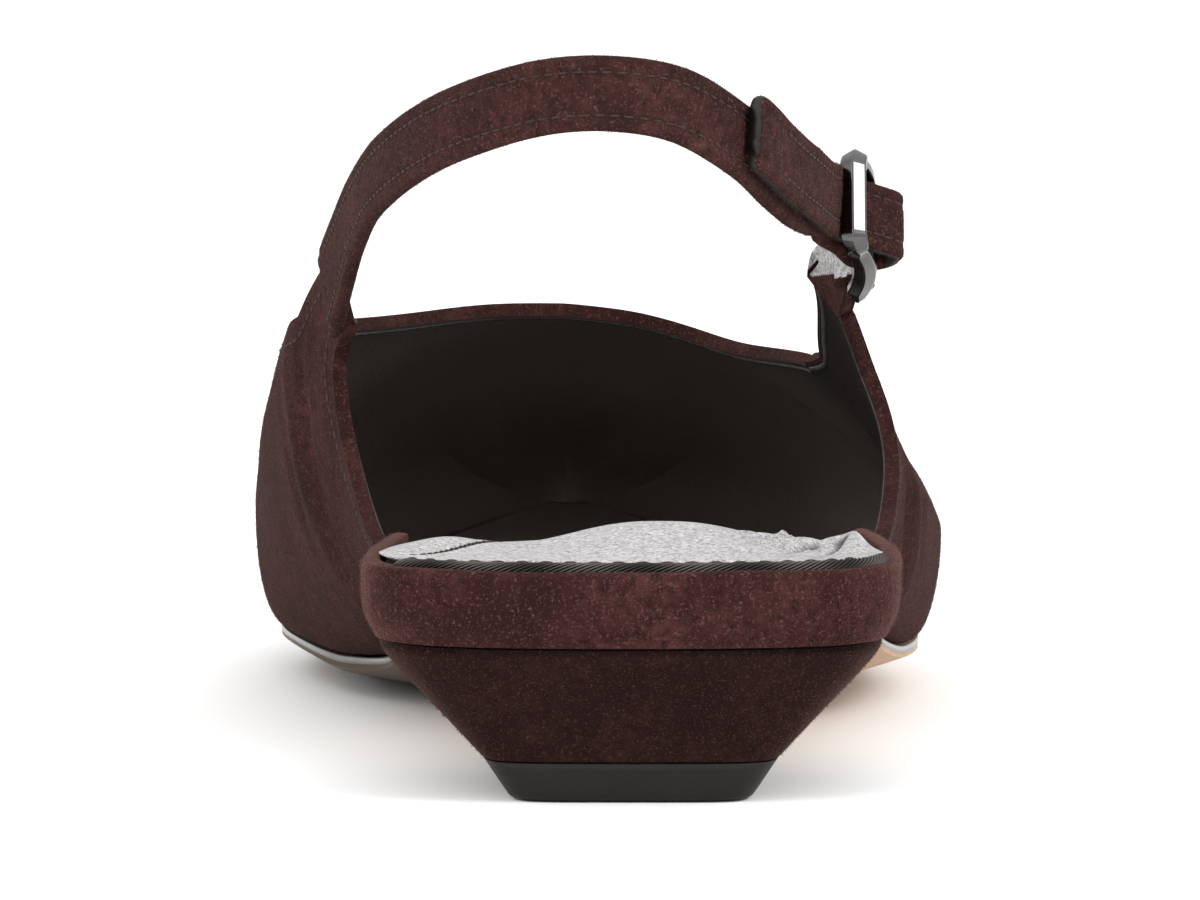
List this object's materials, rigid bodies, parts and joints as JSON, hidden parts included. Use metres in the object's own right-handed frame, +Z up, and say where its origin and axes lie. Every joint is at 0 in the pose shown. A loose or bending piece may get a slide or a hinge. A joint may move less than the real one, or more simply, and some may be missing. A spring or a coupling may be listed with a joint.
{
  "type": "slingback pump",
  "caption": "Right-foot slingback pump with a pointed toe, a low covered block heel, a padded sock and a strap round the back of the ankle that closes with a side buckle.",
  "frame": {"origin": "middle of the shoe's footprint, on the floor", "axes": "+Y from the heel to the toe, +X to the lateral side, which is the right, +Z up"},
  "size_m": [0.082, 0.262, 0.0805],
  "materials": {
    "sole_leather": "smooth, waxed",
    "insole_board": "matt",
    "sock_leather": "silver, fine grain",
    "heel_suede": "suede nap",
    "top_piece_rubber": "matt",
    "rand_suede": "suede nap",
    "upper_suede": "suede nap",
    "strap_suede": "suede nap",
    "buckle_metal": "polished",
    "tab_suede": "suede nap"
  },
  "bodies": {
    "root": {"outsole": "sole_leather", "insole": "insole_board", "sock_pad": "sock_leather", "heel": "heel_suede", "top_piece": "top_piece_rubber", "heel_rand": "rand_suede", "upper": "upper_suede", "sling_strap": "strap_suede", "buckle_frame": "buckle_metal", "buckle_tab": "tab_suede"}
  },
  "joints": []
}
